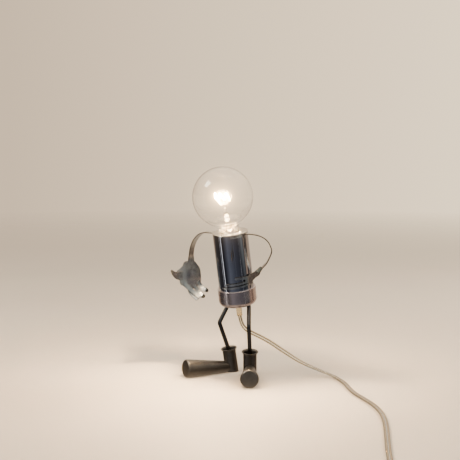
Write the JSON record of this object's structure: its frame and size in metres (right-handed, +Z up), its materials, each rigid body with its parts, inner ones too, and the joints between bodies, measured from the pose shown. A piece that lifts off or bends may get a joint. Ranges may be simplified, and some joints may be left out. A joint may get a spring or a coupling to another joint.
{
  "type": "desk lamp",
  "caption": "Figure-shaped desk lamp: globe bulb head, polished tube body, flat strip arms, bent rod legs and turned feet, on a flat twin lead with in-line switch and plug.",
  "frame": {"origin": "on the surface the lamp stands on, under the middle of the figure's bounding box", "axes": "+Z up, the figure faces -Y, its own left is +X"},
  "size_m": [0.533, 0.4812, 0.3359],
  "materials": {
    "polished_tube": "polished, nickel bright",
    "plate": "polished",
    "cup": "polished",
    "strip": "polished strip",
    "rod": "polished rod",
    "satin": "satin turned metal",
    "fastener": "plated",
    "inner_bracket": "plain steel",
    "holder": "glazed",
    "contact": "bright",
    "cap": "bright",
    "black_glass": "gloss",
    "solder": "dull",
    "bulb": "clear",
    "wire": "drawn",
    "glow": "glowing tungsten",
    "washer": "fibre",
    "clear_lead": "clear flexible sheath over copper",
    "gland": "clear moulding",
    "black": "moulded",
    "tie": "wrapped wire"
  },
  "bodies": {
    "torso": {"body_tube": "polished_tube", "top_plate": "plate", "hip_cup": "cup", "cup_screws": "fastener", "holder_bracket": "inner_bracket", "lampholder_body": "holder", "screw_shell": "contact", "centre_contact": "contact", "terminal_screws": "contact", "threaded_nipple": "contact", "nipple_nut": "contact", "shoulder_screws": "fastener", "shoulder_nuts": "fastener", "shoulder_washers": "washer", "hip_washers": "fastener", "cord_gland": "gland", "gland_nut": "gland", "inner_flex": "clear_lead", "cord": "clear_lead", "cord_coil": "clear_lead", "cord_tie": "tie", "switch_base": "black", "switch_cover": "black", "switch_contacts": "contact", "plug_body": "black", "plug_pins": "contact"},
    "bulb": {"bulb_glass": "bulb", "bulb_neck": "bulb", "bulb_cap": "cap", "bulb_insulator": "black_glass", "bulb_contact": "solder", "bulb_stem": "bulb", "filament": "glow", "filament_supports": "wire"},
    "right_arm": {"right_arm": "strip"},
    "left_arm": {"left_arm": "strip"},
    "right_leg": {"right_leg_rod": "rod", "right_hip_nut": "fastener", "right_ankle_nuts": "fastener"},
    "left_leg": {"left_leg_rod": "rod", "left_hip_nut": "fastener", "left_ankle_nuts": "fastener"},
    "right_foot": {"right_ankle_cup": "satin", "right_shoe": "satin"},
    "left_foot": {"left_ankle_cup": "satin", "left_shoe": "satin"},
    "rocker": {"switch_rocker": "black"}
  },
  "joints": [
    {"name": "bulb_screw", "type": "hinge", "parent": "torso", "child": "bulb", "pos_m": [0.008, 0.0075, 0.233], "axis": [0, -0.3223, 0.9466], "range_deg": [-170, 170]},
    {"name": "right_shoulder", "type": "hinge", "parent": "torso", "child": "right_arm", "pos_m": [-0.0122, 0.0075, 0.233], "axis": [0, -0.1874, 0.9823], "range_deg": [-20, 20]},
    {"name": "left_shoulder", "type": "hinge", "parent": "torso", "child": "left_arm", "pos_m": [0.0282, 0.0075, 0.233], "axis": [0, -0.1874, 0.9823], "range_deg": [0, 12]},
    {"name": "right_hip", "type": "hinge", "parent": "torso", "child": "right_leg", "pos_m": [-0.0125, 0.03004, 0.11483], "axis": [0, -0.1874, 0.9823], "range_deg": [-12, 12]},
    {"name": "left_hip", "type": "hinge", "parent": "torso", "child": "left_leg", "pos_m": [0.0285, 0.03004, 0.11483], "axis": [0, -0.1874, 0.9823], "range_deg": [-12, 12]},
    {"name": "right_ankle", "type": "hinge", "parent": "right_leg", "child": "right_foot", "pos_m": [-0.0135, 0.0323, 0.0389], "axis": [-0.0636, -0.1429, 0.9877], "range_deg": [-15, 15]},
    {"name": "left_ankle", "type": "hinge", "parent": "left_leg", "child": "left_foot", "pos_m": [0.0295, 0.0323, 0.0389], "axis": [0.0908, -0.1274, 0.9877], "range_deg": [-15, 15]},
    {"name": "switch_rock", "type": "hinge", "parent": "torso", "child": "rocker", "pos_m": [0.351, -0.3425, 0.0108], "axis": [0.5, -0.866, 0], "range_deg": [-8, 8]}
  ]
}
